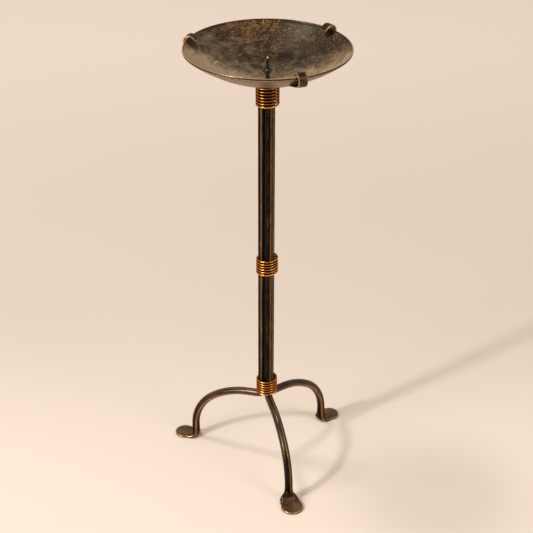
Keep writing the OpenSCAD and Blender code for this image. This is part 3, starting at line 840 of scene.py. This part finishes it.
def bead_outline():
    """Section of the collar, whose belly is fullest a little below the middle of its height."""
    foot_r, shoulder_r, mouth_r = STEM_R + 0.6 * MM, COLLAR_R - 0.3 * MM, COLLAR_BORE_R + 0.4 * MM
    swell = COLLAR_R - 0.4 * MM - foot_r
    # radius, and share of the collar's height
    bead = [(COLLAR_BORE_R, 0.0), (foot_r, 0.0)]
    lower, upper = BEAD_STEPS
    for i in range(1, lower):
        t = i / lower
        bead.append((foot_r + swell * math.sin(t * math.pi / 2) ** 0.9, 0.38 * t ** 1.4))
    bead += [(COLLAR_R - 0.08 * MM, 0.40), (COLLAR_R, 0.44), (COLLAR_R - 0.08 * MM, 0.48)]
    for i in range(1, upper + 1):
        t = i / upper
        bead.append((shoulder_r - (shoulder_r - mouth_r) * math.sin(t * math.pi / 2) ** 0.75,
                     0.5 + 0.5 * t ** 1.6))
    bead.append((COLLAR_BORE_R, 1.0))
    return [(r, STEM_TOP + share * (COLLAR_TOP - STEM_TOP), 0.0) for r, share in bead]


spike = solid_of("spike", spike_outline(), SPIKE_SIDES, sharp=35)
collar = turned("spike_bead", bead_outline(), SPIKE_SIDES, sharp=40)

SPIKE_BLACK = (0.006, 0.0055, 0.005, 1)
TIP_HIGHLIGHT = (0.75, 0.52, 0.30, 1)

f = Finish("blackened spike iron")
soot = f.noise(f.place(), scale=400, detail=3)
# the wear mark on the taper's top and the point paints a highlight there
worn = f.ramp(f.varied(f.mark("wear"), soot), 0.4, 0.9)
spike_finish = f.finish({
    "Base Color": f.blend(worn, SPIKE_BLACK, TIP_HIGHLIGHT),
    "Metallic": f.ramp(worn, 0, 1, to_low=0.3, to_high=0.9),
    "Roughness": f.ramp(soot, 0.3, 0.7, to_low=0.24, to_high=0.32), "Specular IOR Level": 0.9,
    "Normal": f.bump(soot, strength=0.1, distance=0.1 * MM)})
for piece, node in ((spike, "pricket_spike"), (collar, "spike_collar")):
    piece.data.materials.append(spike_finish)
    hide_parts(node)
    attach(piece, "root")

# ---- Three rim clips ----
# Short lengths of flat strap, scarfed and welded under the dish, curled up round its lip, and
# ended in a flat tab that reaches down inside. Their edges are rubbed to copper, and their
# inner faces are painted dark as shade.
CLIP_W = 12.7 * MM
CLIP_T = 2 * MM
CLIP_SQUARE = 9.0
STRAP_SLOPE = math.radians(16)
TAB_SLOPE = math.radians(40)
TAB_L = 7 * MM
# Clear space between strap and dish for the weld, the scarf's least thickness, and how near to
# the dish it ends
WELD_GAP = 0.2 * MM
SCARF_T = 0.2 * MM
SCARF_END = 0.3 * MM
# How far the strap's edges waver, and how many times to the metre
STRAP_WAVER = 0.25 * MM
STRAP_WAVES = 70
# Each clip: node, direction, outside radius of its curl, and how far in and down from the
# top of the rim the middle of the curl lies
CLIPS = (("front_clip", 22, 10.2 * MM, 3 * MM, 5 * MM),
         ("right_clip", 130.5, 10.2 * MM, 4 * MM, 2.8 * MM),
         ("left_clip", -108, 9.2 * MM, 4.2 * MM, 4 * MM))
# How finely a clip is drawn
CLIP_POINTS = 44
STRAP_STEP = 1.2 * MM
CURL_STEPS = 36
TAB_STEPS = 5


def strap_line(curl_r, inset, drop):
    """Outer and inner face of the strap at each section, from under the dish to the tab."""
    centre = Vector((RIM_R - inset, RIM_Z - drop))
    strap_angle = STRAP_SLOPE - math.pi / 2
    tab_angle = math.pi / 2 + TAB_SLOPE
    start = centre + polar(curl_r, strap_angle)
    run = Vector((math.cos(STRAP_SLOPE), math.sin(STRAP_SLOPE)))
    up = Vector((-run.y, run.x))
    sections = []
    length, low = 0.0, start
    while low.y < bowl_z(low.x, BOWL_R + WELD_GAP) - SCARF_END:
        high = low + up * CLIP_T
        limit = bowl_z(high.x, BOWL_R + WELD_GAP)
        if high.y > limit:
            high = low + up * max((limit - low.y) * 0.96, SCARF_T)
        sections.append((low, high))
        length += STRAP_STEP
        low = start - run * length
    sections.reverse()
    for i in range(1, CURL_STEPS + 1):
        a = strap_angle + (tab_angle - strap_angle) * i / CURL_STEPS
        sections.append((centre + polar(curl_r, a), centre + polar(curl_r - CLIP_T, a)))
    outer, inner = sections[-1]
    down = polar(1, tab_angle + math.pi / 2)
    for i in range(1, TAB_STEPS + 1):
        reach = down * TAB_L * i / TAB_STEPS
        sections.append((outer + reach, inner + reach))
    return sections


def rim_clip(name, azimuth, curl_r, inset, drop):
    """One strap, marked where it is rubbed, where its inner face is painted dark as shade, and
    where its free edges and its end are worn.
    """
    out = at(azimuth, 1)
    across = Vector((-out.y, out.x, 0))
    points, along, rub_and_painted_light, wear = [], [], [], []
    sections = strap_line(curl_r, inset, drop)
    length = 0.0
    for n, (outer, inner) in enumerate(sections):
        if n:
            length += (outer - sections[n - 1][0]).length
        middle = (outer + inner) / 2
        depth = inner - outer
        waver = noise.noise(Vector((azimuth, length * STRAP_WAVES, 0.0))) * STRAP_WAVER
        width = CLIP_W / 2 + waver
        end_wear = smooth(1.2 * MM, 0, (sections[-1][0] - outer).length)
        free = smooth(RIM_R - 9 * MM, RIM_R + 2 * MM, outer.x) if n < len(sections) / 2 else 1.0
        # the outside of the curl is rubbed most, and the strap's inner face is painted dark as
        # shade
        curled = 0.15 * smooth(RIM_R + 2 * MM, RIM_R + 6 * MM, outer.x)
        for i in range(CLIP_POINTS):
            a = math.tau * i / CLIP_POINTS
            x, y = rounded(math.cos(a), CLIP_SQUARE), rounded(math.sin(a), CLIP_SQUARE)
            points.append(upright(out, middle + depth * (y / 2)) + across * (x * width))
            along.append((x * width, depth.length * y / 2, length))
            rub_and_painted_light.append(0.2 + curled - 0.5 * smooth(0.3, 0.8, y))
            wear.append(max(smooth(0.86, 0.93, abs(x)) * free, end_wear))
    last = (len(sections) - 1) * CLIP_POINTS
    faces = tube_faces(len(sections), CLIP_POINTS)
    faces.append(tuple(range(CLIP_POINTS)))
    faces.append(tuple(reversed(range(last, last + CLIP_POINTS))))
    return piece_from(name + "_strap", points, faces,
                      {"along_bar": along, "rub_and_painted_light": rub_and_painted_light, "wear": wear}, sharp=35)


strap_finish = patinated_iron("rubbed strap patina", gloss=0.45, smoothest=0.2)
for name, *sizes in CLIPS:
    strap = rim_clip(name, *sizes)
    strap.data.materials.append(strap_finish)
    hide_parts(name)
    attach(strap, "root")

# ---- Studio ----
# Plain pale floor, one distant key lamp from the front left that throws the long shadow, large
# soft boxes to the left, to the right and overhead, and the camera at the photograph's angle.
FLOOR_HALF = 6.0
PAPER_TAN = (0.74, 0.643, 0.552, 1)
PAPER_PALE = (0.89, 0.772, 0.672, 1)
floor_mesh = bpy.data.meshes.new("studio_floor")
floor_mesh.from_pydata([(-FLOOR_HALF, -FLOOR_HALF, 0), (FLOOR_HALF, -FLOOR_HALF, 0),
                        (FLOOR_HALF, FLOOR_HALF, 0), (-FLOOR_HALF, FLOOR_HALF, 0)], [],
                       [(0, 1, 2, 3)])
floor = bpy.data.objects.new("studio_floor", floor_mesh)
bpy.context.collection.objects.link(floor)
f = Finish("pale paper floor")
place = f.place()
paper = f.noise(place, scale=3)
# painted light: the floor's colour is lighter towards the front and far behind the stand
backward = f.node("SeparateXYZ", {"Vector": place}, "Y")
pale = f.math("MULTIPLY", f.ramp(backward, 0.45, -0.15), 0.85)
pale = f.math("MULTIPLY_ADD", f.ramp(backward, 0.7, 2.1), 0.95, pale)
pale = f.math("MULTIPLY_ADD", paper, 0.1, pale)
floor_mesh.materials.append(f.finish({
    "Base Color": f.blend(pale, PAPER_TAN, PAPER_PALE),
    "Roughness": 0.9, "Specular IOR Level": 0.1}))

WARM_WHITE = (1.0, 0.95, 0.89)
COOL_WHITE = (0.97, 1.0, 1.03)
LAMP_TARGET = Vector((0, 0, 0.35))
KEY_SPREAD = math.radians(4.0)
# Each soft box: name, place, width and height, strength
SOFT_BOXES = (("left_box", (-2.2, -1.6, 1.3), (1.3, 1.6), 40),
              ("right_box", (1.9, -1.35, 2.3), (0.8, 2.0), 14),
              ("top_box", (-1.9, 0.8, 5.6), (0.9, 0.9), 75))


def lamp(name, kind, spot, strength, colour):
    """A lamp that looks at the middle of the stand; its size is set on what this returns."""
    data = bpy.data.lights.new(name, kind)
    data.energy = strength
    data.color = colour
    light = bpy.data.objects.new(name, data)
    light.location = spot
    aim = LAMP_TARGET - Vector(spot)
    light.rotation_euler = aim.to_track_quat("-Z", "Y").to_euler()
    bpy.context.collection.objects.link(light)
    return data


key = lamp("key", "SUN", (-2.1, -1.53, 2.3), 1.08, COOL_WHITE)
key.angle = KEY_SPREAD
for name, spot, size, strength in SOFT_BOXES:
    box = lamp(name, "AREA", spot, strength, WARM_WHITE)
    box.shape = "RECTANGLE"
    box.size, box.size_y = size

WORLD_CREAM = (1.0, 0.885, 0.78, 1)
WORLD_STRENGTH = 0.478
world = bpy.data.worlds.new("soft studio")
bpy.context.scene.world = world
world.use_nodes = True
sky = world.node_tree.nodes["Background"].inputs
sky["Color"].default_value = WORLD_CREAM
sky["Strength"].default_value = WORLD_STRENGTH

CAMERA_SPOT = (0, -1.7117, 1.3475)
CAMERA_TILT = math.radians(90 - 30.13)
CAMERA_PAN = 0.0005
CAMERA_ROLL = 0.0026
LENS = 87.78
SENSOR = 36
camera = bpy.data.objects.new("camera", bpy.data.cameras.new("camera"))
camera.data.sensor_width = SENSOR
camera.data.lens = LENS
camera.location = CAMERA_SPOT
tilt = Euler((CAMERA_TILT, 0, CAMERA_PAN)).to_matrix()
roll = Euler((0, 0, CAMERA_ROLL)).to_matrix()
camera.rotation_euler = (tilt @ roll).to_euler()
bpy.context.collection.objects.link(camera)
bpy.context.scene.camera = camera
bpy.context.scene.view_settings.view_transform = "Standard"
